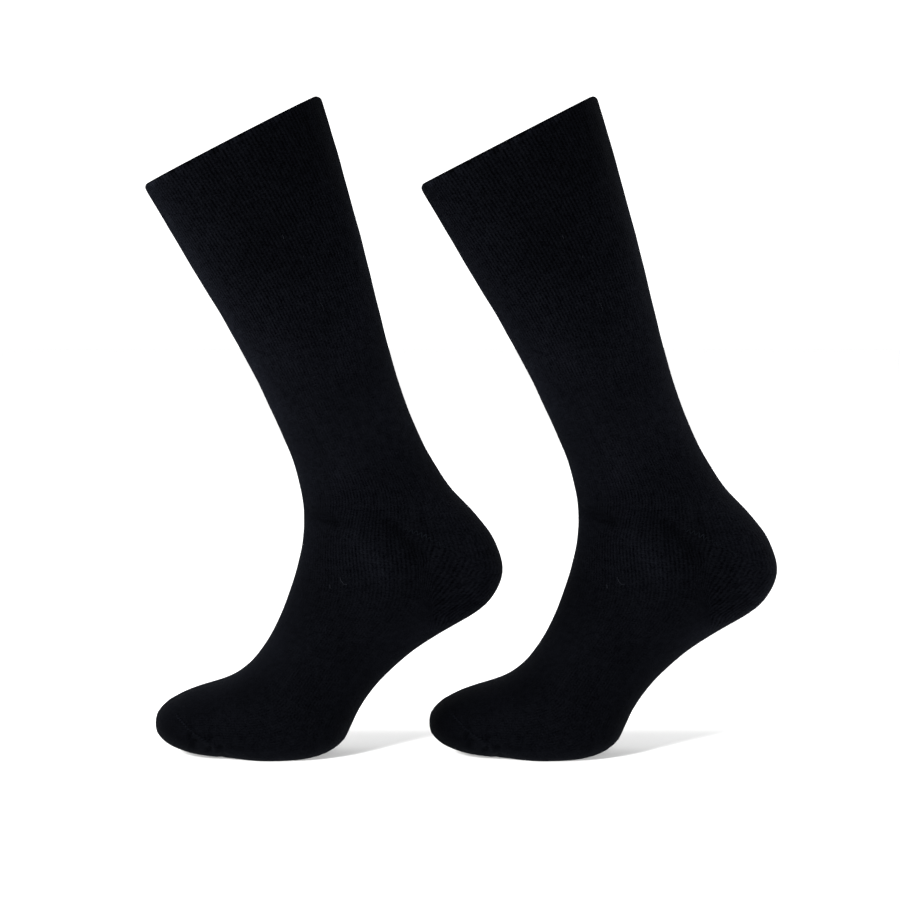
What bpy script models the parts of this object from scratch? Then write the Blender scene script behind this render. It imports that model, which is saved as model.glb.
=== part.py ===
"""A pair of calf-length knitted socks, filled out as on two raised feet.

Each sock is one knitted tube: a hollow wall of cloth that is open at the cuff, turns at the heel
pocket and closes at the toe. It stands on the underside of its ball, with the heel up and the toes
towards -X. The wall follows rings across the tube, which fan out round the front of the ankle. Its
outside carries the ribs of the cuff band and the largest folds, and its inside is plain.
"""

import math
from collections import namedtuple

import bmesh
import bpy
import numpy as np

MM = 0.001  # the tables below are in millimetres

# Driving sizes, in metres.
PAIR_SPACING = 0.1785  # from one sock to the other, along X
WALL = 0.0012  # plain knitted cloth
BAND_WALL = 0.0018  # turned double cloth of the cuff band
RIB_HEIGHT = 0.0004  # ribs of the cuff band, above its wall
RIBS = 132  # all round the cuff
PLAIN_COLUMNS = 44  # sides of the tube outside, a divisor of twice the ribs
INNER_COLUMNS = 44  # sides of the tube inside

# Rings across the tube, from the cuff to the toe. Front is the shin, instep or top of the toes, and
# back is the calf, heel or sole, as X and height. Half width is along Y. Widest is where that width
# lies, as a share of the way from front to back. The rounds are superellipse powers: 2 is an
# ellipse, and more is squarer. Rings is how many rings lead to the next row.
Section = namedtuple(
    "Section",
    "name front_x front_z back_x back_z half_width widest front_round back_round rings",
)
SECTIONS = [
    Section("cuff", -117.3, 371.0, -3.1, 430.0, 50.0, 0.50, 2.1, 2.1, 0),
    Section("band foot", -100.7, 343.2, 5.7, 399.1, 49.0, 0.50, 2.1, 2.1, 2),
    Section("calf", -83.2, 313.2, 15.6, 361.9, 46.5, 0.50, 2.1, 2.1, 2),
    Section("shin", -48.8, 254.7, 35.5, 289.1, 39.5, 0.48, 2.1, 2.1, 2),
    Section("small of leg", -25.3, 204.6, 53.1, 226.7, 34.5, 0.46, 2.1, 2.1, 3),
    Section("ankle", -14.3, 168.2, 79.7, 176.6, 36.0, 0.42, 2.1, 2.2, 2),
    Section("heel top", -13.9, 145.5, 109.1, 142.9, 37.5, 0.38, 2.1, 2.4, 1),
    Section("heel back", -15.5, 135.4, 115.9, 123.0, 37.5, 0.37, 2.1, 2.6, 2),
    Section("heel under", -18.7, 119.5, 107.9, 102.2, 37.0, 0.38, 2.1, 2.6, 2),
    Section("heel front", -23.7, 104.5, 84.5, 86.8, 36.5, 0.40, 2.1, 2.5, 2),
    Section("arch", -32.1, 84.3, 52.5, 65.8, 37.0, 0.44, 2.1, 2.4, 2),
    Section("arch foot", -41.6, 69.0, 27.5, 40.0, 41.0, 0.50, 2.1, 2.4, 2),
    Section("ball back", -48.1, 60.8, 16.5, 18.8, 44.0, 0.56, 2.1, 2.5, 2),
    Section("ball", -54.6, 56.2, 2.3, 2.4, 46.5, 0.60, 2.1, 2.8, 2),
    Section("ball front", -64.4, 51.2, -32.5, -2.0, 46.5, 0.60, 2.1, 3.2, 2),
    Section("toes", -78.3, 45.8, -67.8, -1.0, 42.5, 0.56, 2.1, 2.7, 2),
    Section("toe cap", -94.3, 40.2, -91.3, 4.2, 35.5, 0.52, 2.1, 2.3, 1),
    Section("toe turn", -104.0, 34.3, -103.5, 9.2, 26.0, 0.50, 2.1, 2.1, 1),
    Section("toe end", -108.9, 27.7, -109.1, 15.4, 14.0, 0.50, 2.0, 2.0, 1),
]
TOE_TIP = (-110.5, 21.6)  # X and height of the closing point, on the middle plane

# Rings of the cuff band, by their depth below the cuff's edge. Inset is how far the turned edge
# rounds in, and ribbed rings carry the ribs.
BandRing = namedtuple("BandRing", "depth inset ribbed")
BAND = [
    BandRing(0.0, 2.4, False),
    BandRing(1.2, 0.8, False),
    BandRing(3.4, 0.0, True),
    BandRing(16.0, 0.0, True),
    BandRing(29.0, 0.0, True),
]

# Largest folds, each a soft trough over one side of the tube, or a soft ridge where the depth is
# negative. A fold follows a bend through three points, as X and height, and fades out at its ends.
# Side is -1 for the near side, at -Y, and +1 for the far side.
Fold = namedtuple("Fold", "name side start_x start_z bend_x bend_z end_x end_z depth width")
FOLDS = [
    Fold("near instep trough", -1, -17.3, 163.8, -1.3, 156.8, 16.7, 154.8, 1.1, 4.5),
    Fold("near ankle trough", -1, 28.7, 160.8, 56.7, 156.8, 58.7, 122.8, 1.9, 5.0),
    Fold("near ankle swell", -1, 14.7, 150.8, 30.7, 136.8, 34.7, 104.8, -1.3, 10.0),
    Fold("far instep trough", 1, -17.3, 159.8, 2.7, 150.8, 22.7, 152.8, 1.2, 4.5),
    Fold("far ankle trough", 1, 32.7, 162.8, 60.7, 150.8, 54.7, 116.8, 1.7, 5.5),
    Fold("far ankle swell", 1, 20.7, 146.8, 34.7, 130.8, 32.7, 98.8, -1.2, 11.0),
]
FOLD_REACH = 12.0  # a fold is at full depth this far from the middle plane


def remove_everything():
    for thing in list(bpy.data.objects):
        bpy.data.objects.remove(thing, do_unlink=True)


def smooth_through(stops, values, places):
    """Values at the places, on a smooth curve through the stops, as cubics with chordal slopes."""
    steps = np.diff(stops)
    climbs = np.diff(values) / steps
    slopes = np.empty(len(values))
    slopes[0], slopes[-1] = climbs[0], climbs[-1]
    slopes[1:-1] = (climbs[:-1] * steps[1:] + climbs[1:] * steps[:-1]) / (steps[:-1] + steps[1:])
    index = np.clip(np.searchsorted(stops, places, side="right") - 1, 0, len(steps) - 1)
    share = (places - stops[index]) / steps[index]
    rise = slopes[index] * steps[index]
    fall = slopes[index + 1] * steps[index]
    blend = 3 * share**2 - 2 * share**3
    return (
        values[index] * (1 - blend)
        + values[index + 1] * blend
        + rise * (share - 2 * share**2 + share**3)
        + fall * (share**3 - share**2)
    )


def tube_sections():
    """The section of every ring, from the cuff's edge to the toe's end."""
    stops = [0.0]
    for row, after in zip(SECTIONS, SECTIONS[1:]):
        front = math.hypot(after.front_x - row.front_x, after.front_z - row.front_z)
        back = math.hypot(after.back_x - row.back_x, after.back_z - row.back_z)
        stops.append(stops[-1] + (front + back) / 2)
    places = [ring.depth for ring in BAND]
    for row, start, end in zip(SECTIONS, stops, stops[1:]):
        places.extend(start + (end - start) * step / row.rings for step in range(row.rings))
    places.append(stops[-1])
    fields = Section._fields[1:-1]
    columns = [
        smooth_through(np.array(stops), np.array([getattr(row, field) for row in SECTIONS]),
                       np.array(places))
        for field in fields
    ]
    return [dict(zip(fields, values)) for values in zip(*columns)]


def ring_points(section, count, inset=0.0):
    """Evenly spaced points round one ring, from the front towards +Y, in metres."""
    turn = np.linspace(0.0, 2 * math.pi, 721)
    cosine, sine = np.cos(turn), np.sin(turn)
    power = 2 / np.where(cosine > 0, section["front_round"], section["back_round"])
    along = np.sign(cosine) * np.abs(cosine) ** power
    across = np.sign(sine) * np.abs(sine) ** power
    front = np.array([section["front_x"], section["front_z"]])
    back = np.array([section["back_x"], section["back_z"]])
    inwards = (back - front) / np.linalg.norm(back - front) * inset
    front, back = front + inwards, back - inwards
    middle = front + (back - front) * section["widest"]
    reach = np.where((cosine > 0)[:, None], front - middle, middle - back)
    flat = middle + reach * along[:, None]
    width = section["half_width"] - inset
    points = np.column_stack([flat[:, 0], across * width, flat[:, 1]])
    length = np.concatenate([[0], np.cumsum(np.linalg.norm(np.diff(points, axis=0), axis=1))])
    even = np.arange(count) / count * length[-1]
    return np.column_stack([np.interp(even, length, points[:, i]) for i in range(3)]) * MM


def outward(grid):
    """Unit normals of a grid of rings, out of the tube."""
    round_the_ring = np.roll(grid, -1, axis=1) - np.roll(grid, 1, axis=1)
    down_the_tube = np.gradient(grid, axis=0)
    normals = np.cross(round_the_ring, down_the_tube)
    return normals / np.linalg.norm(normals, axis=2, keepdims=True)


def fold_depth(points):
    """How far the folds push each point in, in metres."""
    depth = np.zeros(points.shape[:-1])
    share = np.linspace(0.0, 1.0, 21)
    fade = np.sin(math.pi * share) ** 0.5
    side_view = points[..., None, [0, 2]] / MM
    for fold in FOLDS:
        curve = (np.outer((1 - share) ** 2, (fold.start_x, fold.start_z))
                 + np.outer(2 * share * (1 - share), (fold.bend_x, fold.bend_z))
                 + np.outer(share**2, (fold.end_x, fold.end_z)))
        distance = np.linalg.norm(side_view - curve, axis=-1) / fold.width
        profile = (np.exp(-(distance**2)) * fade).max(axis=-1)
        on_this_side = np.clip(points[..., 1] / MM * fold.side / FOLD_REACH, 0.0, 1.0)
        depth += fold.depth * MM * profile * on_this_side
    return depth


def folded(grid):
    """The grid with its folds pressed in, and flattened where it stands on the floor."""
    grid = grid - outward(grid) * fold_depth(grid)[..., None]
    grid[..., 2] = np.maximum(grid[..., 2], 0.0)
    return grid


def plain_grid(count):
    """Points of the smooth outside, ring by ring."""
    insets = [ring.inset for ring in BAND]
    sections = tube_sections()
    insets += [0.0] * (len(sections) - len(insets))
    return folded(np.array([ring_points(section, count, inset)
                            for section, inset in zip(sections, insets)]))


def inner_grid():
    """Points of the plain inside, one wall in from the outside."""
    grid = plain_grid(INNER_COLUMNS)
    wall = np.full(len(grid), WALL)
    wall[: len(BAND)] = BAND_WALL
    grid = grid - outward(grid) * wall[:, None, None]
    grid[..., 2] = np.maximum(grid[..., 2], WALL)
    return grid


def ribbed_ring(section):
    """One ring of the cuff band, with a ridge at every rib and a groove between."""
    points = ring_points(section, 2 * RIBS)
    across = np.roll(points, -1, axis=0) - np.roll(points, 1, axis=0)
    chord = np.array([section["back_x"] - section["front_x"], 0.0,
                      section["back_z"] - section["front_z"]])
    down_the_tube = np.cross(chord, (0.0, 1.0, 0.0))
    normals = np.cross(down_the_tube, across)
    normals /= np.linalg.norm(normals, axis=1, keepdims=True)
    outwards = np.sign((normals * (points - points.mean(axis=0))).sum(axis=1, keepdims=True))
    points[1::2] += (normals * outwards)[1::2] * RIB_HEIGHT
    return points


def add_ring(mesh, points):
    return [mesh.verts.new(point) for point in points]


def join(mesh, upper, lower):
    """Faces between two rings. Where one has more points, each side of the other takes a share."""
    if len(upper) == len(lower):
        for i in range(len(upper)):
            after = (i + 1) % len(upper)
            mesh.faces.new((upper[i], upper[after], lower[after], lower[i]))
        return
    fine, coarse = (upper, lower) if len(upper) > len(lower) else (lower, upper)
    share = len(fine) // len(coarse)
    for i, corner in enumerate(coarse):
        following = coarse[(i + 1) % len(coarse)]
        start = i * share
        middle = start + share // 2
        triangles = [(fine[middle], following, corner)]
        for j in range(start, start + share):
            apex = corner if j < middle else following
            triangles.append((fine[j], fine[(j + 1) % len(fine)], apex))
        for triangle in triangles:
            mesh.faces.new(triangle if fine is upper else triangle[::-1])


def close_toe(mesh, ring, tip_x):
    tip = mesh.verts.new((tip_x, 0.0, TOE_TIP[1] * MM))
    return [mesh.faces.new((corner, ring[(i + 1) % len(ring)], tip))
            for i, corner in enumerate(ring)]


def sock_mesh(name):
    """One closed wall of cloth: outside, turned edge of the cuff, and inside."""
    mesh = bmesh.new()
    outside = [add_ring(mesh, ring) for ring in plain_grid(PLAIN_COLUMNS)]
    for i, (ring, section) in enumerate(zip(BAND, tube_sections())):
        if ring.ribbed:
            bmesh.ops.delete(mesh, geom=outside[i], context="VERTS")
            outside[i] = add_ring(mesh, ribbed_ring(section))
    inside = [add_ring(mesh, ring) for ring in inner_grid()]
    for upper, lower in zip(outside, outside[1:]):
        join(mesh, upper, lower)
    close_toe(mesh, outside[-1], TOE_TIP[0] * MM)
    for upper, lower in zip(inside, inside[1:]):
        join(mesh, lower, upper)
    lining = close_toe(mesh, inside[-1], TOE_TIP[0] * MM + WALL)
    bmesh.ops.reverse_faces(mesh, faces=lining)
    join(mesh, inside[0], outside[0])
    data = bpy.data.meshes.new(name)
    mesh.to_mesh(data)
    mesh.free()
    return data


def black_knit():
    material = bpy.data.materials.new("black knit")
    material.use_nodes = True
    shader = material.node_tree.nodes["Principled BSDF"]
    shader.inputs["Base Color"].default_value = (0.006, 0.006, 0.009, 1.0)
    shader.inputs["Roughness"].default_value = 0.95
    shader.inputs["Metallic"].default_value = 0.0
    return material


remove_everything()
cloth = black_knit()
for side, name in ((-1, "sock_left"), (1, "sock_right")):
    data = sock_mesh(name)
    data.materials.append(cloth)
    data.shade_smooth()
    sock = bpy.data.objects.new(name, data)
    sock.location.x = side * PAIR_SPACING / 2
    bpy.context.collection.objects.link(sock)
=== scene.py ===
"""A pair of black calf-length knitted socks, standing filled out on their balls.

The socks are put together section by section below, from the knitted tube to the loose lint on it.
"""

import math
import random
from collections import namedtuple
from functools import partial

import bpy
import numpy as np
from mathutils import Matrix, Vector
from mathutils.bvhtree import BVHTree


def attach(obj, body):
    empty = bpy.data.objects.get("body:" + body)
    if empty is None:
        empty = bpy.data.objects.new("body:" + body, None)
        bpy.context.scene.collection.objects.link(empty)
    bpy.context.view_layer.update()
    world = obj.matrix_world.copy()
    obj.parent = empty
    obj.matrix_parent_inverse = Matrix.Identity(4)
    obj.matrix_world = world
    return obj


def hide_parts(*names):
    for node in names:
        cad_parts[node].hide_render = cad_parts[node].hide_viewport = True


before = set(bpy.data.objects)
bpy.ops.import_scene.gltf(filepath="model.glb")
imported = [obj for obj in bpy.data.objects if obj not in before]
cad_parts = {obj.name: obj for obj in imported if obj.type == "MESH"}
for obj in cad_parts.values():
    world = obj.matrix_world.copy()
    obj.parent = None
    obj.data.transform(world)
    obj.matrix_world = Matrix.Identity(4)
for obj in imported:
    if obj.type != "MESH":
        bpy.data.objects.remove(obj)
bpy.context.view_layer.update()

# ---------------------------------------------------------------------------------------------
# The view: one camera with a long lens, 3 m in front of the pair and as high as the cuffs. It looks
# slightly down on the socks, which stand side on to it.

VIEW_AIM = Vector((-0.0081, 0.0, 0.1994))
VIEW_DISTANCE = 3.0
VIEW_ELEVATION = math.radians(3.8)
VIEW_WIDTH = 0.585  # metres across the frame, at the pair

camera_data = bpy.data.cameras.new("camera")
camera_data.sensor_width = 36
camera_data.lens = camera_data.sensor_width * VIEW_DISTANCE / VIEW_WIDTH
camera = bpy.data.objects.new("camera", camera_data)
camera.location = VIEW_AIM + VIEW_DISTANCE * Vector(
    (0, -math.cos(VIEW_ELEVATION), math.sin(VIEW_ELEVATION)))
camera.rotation_euler = (VIEW_AIM - camera.location).to_track_quat("-Z", "Y").to_euler()
bpy.context.collection.objects.link(camera)
bpy.context.scene.camera = camera

# ---------------------------------------------------------------------------------------------
# The studio: a white room, brighter on its left, and a pale floor that runs out of sight. Three
# lamps light the floor alone, which comes out white but for a short shadow beside each ball, and
# three light the socks alone: a key lamp low on the left, and one behind them on each side.

FLOOR_SIDE = 12.0
FLOOR_TONE = 0.38
ROOM_LIGHT = 1.5  # at the height of the eye
ROOM_RISE = 0.05  # how much brighter it is straight above
ROOM_SLOPE = 0.65  # and how much brighter at the far left
LAMP_AIM = Vector((0, 0, 0.1))

# The square lamps, all aimed at the foot of the pair, with their places and sides in metres.
Lamp = namedtuple("Lamp", "name place side watts tint")
LAMPS = (
    Lamp("floor lamp", (-1.12, -2.6, 0.95), 0.33, 450.0, (1, 1, 1)),  # it draws the shadows
    Lamp("key lamp", (-1.5, -0.5, 0.48), 0.5, 13.0, (1, 1, 1)),
    Lamp("left lamp", (-1.3, 0.75, 0.35), 0.6, 10.5, (0.78, 0.9, 1.25)),
    Lamp("right lamp", (1.2, 0.9, 0.6), 0.6, 11.5, (1, 1, 1)),
)

# Two lights straight above the floor, which the socks don't shade: a wide one over all of it, and a
# narrow beam on the stretch behind the socks.
FLOOR_FILL_PLACE = (0.0, 0.0, 3.0)
FLOOR_FILL = 3.3
BACK_LAMP_PLACE = (0.0, 1.635, 0.8)
BACK_LAMP_SIZE = (8.0, 3.0)
BACK_LAMP_SPREAD = math.radians(6)
BACK_LAMP_WATTS = 80.0

floor_mesh = bpy.data.meshes.new("studio_floor")
half = FLOOR_SIDE / 2
floor_mesh.from_pydata([(-half, -half, 0), (half, -half, 0), (half, half, 0), (-half, half, 0)],
                       [], [(0, 1, 2, 3)])
floor = bpy.data.objects.new("studio_floor", floor_mesh)
bpy.context.collection.objects.link(floor)
white_floor = bpy.data.materials.new("white studio floor")
white_floor.use_nodes = True
shader = white_floor.node_tree.nodes["Principled BSDF"]
shader.inputs["Base Color"].default_value = (FLOOR_TONE, FLOOR_TONE, FLOOR_TONE, 1)
shader.inputs["Roughness"].default_value = 0.9
shader.inputs["Specular IOR Level"].default_value = 0.0
floor_mesh.materials.append(white_floor)

world = bpy.data.worlds.new("white room")
bpy.context.scene.world = world
world.use_nodes = True
nodes, links = world.node_tree.nodes, world.node_tree.links
nodes["Background"].inputs["Color"].default_value = (1, 1, 1, 1)
direction = nodes.new("ShaderNodeTexCoord")
light = nodes.new("ShaderNodeVectorMath")
light.operation = "DOT_PRODUCT"
light.inputs[1].default_value = (-ROOM_SLOPE, 0.0, ROOM_RISE)
links.new(direction.outputs["Generated"], light.inputs[0])
strength = nodes.new("ShaderNodeMath")
strength.inputs[1].default_value = ROOM_LIGHT
links.new(light.outputs["Value"], strength.inputs[0])
links.new(strength.outputs[0], nodes["Background"].inputs["Strength"])

for row in LAMPS:
    lamp_data = bpy.data.lights.new(row.name, "AREA")
    lamp_data.shape = "SQUARE"
    lamp_data.size = row.side
    lamp_data.energy = row.watts
    lamp_data.color = row.tint
    lamp = bpy.data.objects.new(row.name, lamp_data)
    lamp.location = row.place
    lamp.rotation_euler = (LAMP_AIM - lamp.location).to_track_quat("-Z", "Y").to_euler()
    bpy.context.collection.objects.link(lamp)
    lamp.light_linking.receiver_collection = bpy.data.collections.new(f"lit by the {row.name}")
floor_alone = bpy.data.collections["lit by the floor lamp"]
floor_alone.objects.link(floor)

fill_data = bpy.data.lights.new("floor fill", "SUN")
fill_data.energy = FLOOR_FILL
back_data = bpy.data.lights.new("back floor lamp", "AREA")
back_data.shape = "RECTANGLE"
back_data.size, back_data.size_y = BACK_LAMP_SIZE
back_data.spread = BACK_LAMP_SPREAD
back_data.energy = BACK_LAMP_WATTS
for lamp_data, place in ((fill_data, FLOOR_FILL_PLACE), (back_data, BACK_LAMP_PLACE)):
    lamp = bpy.data.objects.new(lamp_data.name, lamp_data)
    lamp.location = place
    bpy.context.collection.objects.link(lamp)
    lamp.light_linking.receiver_collection = floor_alone
    lamp.light_linking.blocker_collection = floor_alone
bpy.context.scene.view_settings.view_transform = "Standard"

# ---------------------------------------------------------------------------------------------
# The knitted tube: each sock is one tube of fine blue-black cotton, knitted round and round in
# lengthwise columns of stitches, the wales. The cuff band is the same tube turned in double, with
# its wales standing up as ribs. The heel and toe pockets are knitted to and fro.

MM = 0.001  # the sizes of the cloth are in millimetres
PAIR_SPACING = 178.5  # from one sock to the other, along X
WALES = 132  # round the tube
WALE_COLUMNS = 4  # mesh columns to a wale outside, where the inner face has one
COLUMNS = WALE_COLUMNS * WALES
COURSE = 1.9  # height of one row of stitches
WALL = 1.2
BAND_DEPTH = 30.0

# Rings across the tube. Front is the shin, instep or top of the toes; back is the calf, heel or
# sole. Widest is where the half width lies, as a share of the way from front to back, and the
# rounds are superellipse powers. Slide is how far the wales slip towards the back, as a share of
# the girth, and twist how far the whole ring is turned. Relief is the height of the wales. Rows is
# how many rows of the mesh lead to the section.
Section = namedtuple("Section", "front_x front_z back_x back_z half_width widest front_round"
                     " back_round slide twist relief rows")
SECTIONS = [Section(*row) for row in (
    (-117.3, 371.0, -3.1, 430.0, 50.0, 0.50, 2.1, 2.1, 0.0, 0.055, 0.42, 0),
    (-100.7, 343.2, 6.2, 399.4, 49.0, 0.50, 2.1, 2.1, 0.0, 0.043, 0.36, 6),
    (-83.1, 313.2, 16.5, 362.3, 46.5, 0.50, 2.1, 2.1, 0.0, 0.029, 0.26, 5),
    (-63.9, 281.3, 27.1, 322.6, 42.8, 0.49, 2.1, 2.1, 0.0, 0.017, 0.23, 5),
    (-49.2, 254.6, 35.4, 289.1, 39.5, 0.48, 2.1, 2.1, 0.0, 0.010, 0.22, 4),
    (-25.7, 204.5, 53.7, 226.9, 34.5, 0.46, 2.1, 2.1, 0.0, 0.0, 0.14, 9),
    (-18.7, 186.0, 64.8, 201.6, 34.9, 0.44, 2.1, 2.1, 0.010, 0.0, 0.17, 6),
    (-14.8, 168.2, 80.5, 176.7, 36.0, 0.42, 2.1, 2.2, 0.0, 0.0, 0.20, 6),
    (-13.8, 152.8, 100.1, 154.9, 37.1, 0.39, 2.1, 2.3, -0.072, 0.0, 0.22, 9),
    (-14.2, 145.5, 109.0, 142.9, 37.5, 0.38, 2.1, 2.4, -0.100, 0.0, 0.20, 5),
    (-15.4, 135.4, 115.6, 123.0, 37.5, 0.37, 2.1, 2.6, -0.110, 0.0, 0.12, 7),
    (-19.2, 119.6, 107.3, 102.3, 37.0, 0.38, 2.1, 2.6, -0.070, 0.0, 0.08, 7),
    (-22.7, 109.0, 93.8, 91.0, 36.6, 0.39, 2.1, 2.5, -0.034, 0.0, 0.06, 4),
    (-24.2, 104.6, 86.1, 86.6, 36.5, 0.40, 2.1, 2.5, -0.020, 0.0, 0.06, 2),
    (-27.3, 96.0, 71.4, 78.4, 36.4, 0.41, 2.1, 2.4, -0.003, 0.0, 0.06, 3),
    (-32.7, 84.4, 53.1, 65.7, 37.0, 0.44, 2.1, 2.4, 0.010, 0.0, 0.06, 4),
    (-42.0, 69.2, 28.1, 39.8, 41.0, 0.50, 2.1, 2.4, 0.020, 0.0, 0.05, 6),
    (-44.8, 65.4, 22.1, 30.9, 42.3, 0.53, 2.1, 2.4, 0.017, 0.0, 0.05, 2),
    (-48.6, 61.2, 16.3, 18.9, 44.0, 0.56, 2.1, 2.5, 0.010, 0.0, 0.05, 3),
    (-50.8, 59.2, 12.7, 11.4, 45.0, 0.58, 2.1, 2.6, 0.006, 0.0, 0.05, 2),
    (-54.6, 56.2, 1.6, 3.1, 46.5, 0.60, 2.1, 2.8, 0.0, 0.0, 0.05, 3),
    (-57.5, 54.3, -8.7, 0.1, 47.0, 0.61, 2.1, 3.0, -0.001, 0.0, 0.05, 2),
    (-64.3, 51.0, -32.5, -2.1, 46.5, 0.60, 2.1, 3.2, 0.0, 0.0, 0.05, 5),
    (-75.9, 47.3, -63.2, -0.1, 43.4, 0.57, 2.1, 2.8, 0.0, 0.0, 0.04, 15),
    (-78.4, 46.6, -68.1, 0.1, 42.5, 0.56, 2.1, 2.7, 0.0, 0.0, 0.04, 3),
    (-94.3, 40.4, -91.2, 3.2, 35.5, 0.52, 2.1, 2.3, 0.0, 0.0, 0.02, 14),
    (-104.0, 34.4, -103.5, 8.7, 26.0, 0.50, 2.1, 2.1, 0.0, 0.0, 0.00, 6),
    (-106.9, 31.6, -106.8, 11.6, 20.8, 0.50, 2.1, 2.1, 0.0, 0.0, 0.00, 4),
    (-109.4, 28.2, -109.4, 14.6, 14.0, 0.50, 2.0, 2.0, 0.0, 0.0, 0.00, 4),
)]
TOE_TIP = (-110.9, 21.4)

# Folds over one side, side -1 the near one, from start by bend to end as X and height. Depth is a
# trough, and a negative depth a soft swell. First come the creases and swells of the ankle on both
# sides, then the groove under each heel seam, then the low ridge along the toe seam and its puckers.
Fold = namedtuple("Fold", "side start bend end depth width")
FOLDS = [Fold(*row) for row in (
    (-1, (-17.3, 162.8), (-1.3, 156.3), (18.7, 152.8), 2.6, 3.0),
    (-1, (28.2, 160.6), (50.4, 153.6), (65.4, 127.8), 2.3, 4.6),
    (-1, (12.7, 147.8), (32.7, 139.8), (46.7, 109.8), -3.2, 8.0),
    (1, (-17.3, 159.8), (2.7, 150.8), (22.7, 152.8), 2.5, 3.2),
    (1, (32.7, 162.8), (60.7, 150.8), (54.7, 116.8), 2.9, 3.8),
    (1, (20.7, 146.8), (34.7, 130.8), (32.7, 98.8), -2.0, 9.0),
    (-1, (44.0, 154.0), (76.0, 141.5), (105.0, 125.0), 0.6, 1.8),
    (1, (45.6, 152.6), (77.6, 140.3), (106.0, 124.0), 0.6, 1.8),
    (-1, (-88.6, 22.4), (-77.4, 14.2), (-62.0, 5.0), -0.9, 1.7),
    (-1, (-85.2, 20.2), (-86.6, 17.6), (-87.4, 14.4), 2.0, 1.5),
    (-1, (-82.2, 15.0), (-83.8, 13.0), (-85.0, 9.6), 2.4, 1.6),
    (-1, (-71.6, 19.0), (-72.9, 16.4), (-73.6, 14.2), 1.9, 1.4),
    (-1, (-72.6, 10.6), (-74.0, 8.8), (-75.2, 6.0), 2.4, 1.6),
    (-1, (-65.6, 11.6), (-66.9, 9.4), (-67.6, 7.2), 2.0, 1.5),
    (-1, (-64.6, 5.6), (-66.0, 4.0), (-67.4, 1.8), 1.8, 1.6),
    (1, (-87.4, 23.2), (-76.2, 15.0), (-61.0, 5.6), -0.8, 1.8),
    (1, (-84.9, 21.2), (-86.4, 18.0), (-88.2, 15.0), 1.8, 1.6),
    (1, (-77.6, 14.0), (-79.0, 11.8), (-80.6, 8.2), 2.2, 1.7),
    (1, (-70.2, 16.6), (-71.0, 14.8), (-71.4, 12.6), 1.6, 1.5),
    (1, (-68.6, 10.8), (-70.0, 8.6), (-71.2, 5.4), 2.1, 1.6),
)]
FOLD_REACH = 12.0  # a fold is at full depth this far from the middle plane

# The wales: heights of the four columns of one, as shares of its relief, on the band and below it.
# They fade out over the turned edge, and stand lower on the band's inside.
RIB_PROFILE = (0.5, 0.12, -0.5, 0.12)
WALE_PROFILE = (0.5, 0.0, -0.5, 0.0)
RIB_FADE = 3.0
RIB_EDGE = 0.8  # depth below the edge at which the ribs begin inside
RIBS_INSIDE = 0.6

# Unevenness of the surface: how much the relief of the wales comes and goes, how high the cloth
# swells, and the sizes of the waves in which it does so. Near the cuff's edge it swells less.
RELIEF_UNEVENNESS = 0.35
RELIEF_LIMITS = (0.3, 1.7)
RELIEF_WAVE = 14.0
CLOTH_SWELL = 0.16
CLOTH_WAVE = 34.0
SWELL_FULL = 25.0  # depth below the edge
SWELL_AT_EDGE = 0.2
EDGE_WAVE = 8.0
WAVES = 10  # that many together make one unevenness
WAVE_SPREAD = (0.7, 1.6)  # their sizes, as shares of the one that is asked for
WAVES_HEIGHT = 3.2  # what they come to together

# The heel pocket seen from the side. Its seam falls along X, and its front edge slants back as it
# goes down, as far as the last X. Each edge fades in over a few millimetres.
HEEL_SEAM_TOP = 177.0  # height at X = 0
HEEL_SEAM_FALL = 0.49
HEEL_SEAM_FADE = 4.0
POCKET_FRONT = (33.0, 159.0)  # X and height
POCKET_FRONT_SLANT = 0.97
POCKET_FRONT_LAST = 60.0
POCKET_FRONT_FADE = 10.0
POCKET_FOOT = 78.0
POCKET_FOOT_FADE = 16.0
ABOVE_SEAM_FRONT = 44.0  # X
ABOVE_SEAM_FRONT_FADE = 12.0
ABOVE_SEAM_TOP = 205.0
ABOVE_SEAM_TOP_FADE = 30.0
ABOVE_SEAM_RELIEF = 0.3  # share of the wales' relief that is left there
POCKET_OPEN = ((0.0, 15.0, 40.0), (0.45, 0.5, 0.85))  # how far the gaps show, by the way below it
ABOVE_SEAM_OPEN = 0.4
HEEL_LEAN = 0.15  # wales per millimetre below the seam that the pocket's knit leans by
LEAN_REACH = 14.0  # the lean is full this far from the middle plane

# The look of the yarn, by the way down the tube from the cuff's edge: how far the painted shade in
# the gaps between the wales shows, and the painted light and shade along the cloth's front, sides and
# back, paler or darker as the light falls on it: palest over the shin and the calf, under the heel,
# and on the sole.
GAP_SHADE_SHOWN = ((0, 110, 140, 200, 250, 300, 320, 335), (0.75, 0.75, 0.6, 0.4, 0.6, 0.6, 0.4, 0.35))
FRONT_PAINTED_SHADING = ((0, 30, 140, 200, 270, 330, 420, 470, 510),
              (1.3, 1.6, 1.9, 1.0, 1.0, 0.7, 0.9, 0.8, 0.4))
SIDE_PAINTED_SHADING = ((0, 30, 70, 110, 240, 290, 440, 480, 510),
             (0.9, 0.7, 0.8, 1.05, 1.2, 1.0, 0.9, 1.0, 0.6))
BACK_PAINTED_SHADING = ((0, 70, 140, 200, 290, 330, 370, 410, 435, 475, 495),
             (0.6, 1.6, 2.2, 1.6, 1.3, 2.2, 1.9, 0.7, 1.8, 1.7, 0.5))
SHADING_REACH = 0.42  # how far round the front and back tones reach, as a share of the way across
SHADING_FALL = 1.5  # and how steeply they fall off
# Painted shade in the folds: the cloth is painted darker for each millimetre it is pressed in, and
# paler, as painted light, for each millimetre it swells out.
FOLD_PAINTED_SHADE = 0.12  # how much darker the cloth looks for each millimetre it is pressed in

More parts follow.
